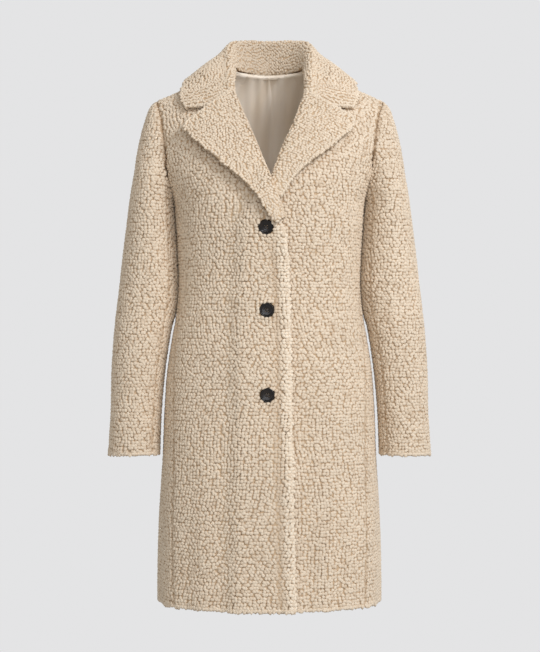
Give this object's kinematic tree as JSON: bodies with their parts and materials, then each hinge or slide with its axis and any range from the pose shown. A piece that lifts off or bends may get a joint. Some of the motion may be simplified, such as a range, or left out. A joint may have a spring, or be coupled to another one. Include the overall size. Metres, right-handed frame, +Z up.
{
  "type": "faux fur coat",
  "caption": "Knee-length beige teddy fur coat with notched lapels, set-in sleeves and dark round buttons, hollow and filled out as worn.",
  "frame": {"origin": "middle of the neck, level with the seam at the back of the neck, where the wearer's shoulders hold the coat", "axes": "+Z up, -Y the front of the coat, +X the wearer's left"},
  "size_m": [0.5624, 0.298, 0.9892],
  "materials": {
    "fur": "curled teddy pile, matt",
    "satin": "taupe beige satin weave",
    "button": "near-black brown, polished"
  },
  "bodies": {
    "root": {"front_right": "fur", "front_left": "fur", "back": "fur", "sleeve_upper_right": "fur", "sleeve_under_right": "fur", "sleeve_upper_left": "fur", "sleeve_under_left": "fur", "lapel_right": "fur", "lapel_left": "fur", "collar": "fur", "lining_back": "satin", "hanger_loop": "satin", "button_top": "button", "button_middle": "button", "button_bottom": "button"}
  },
  "joints": []
}
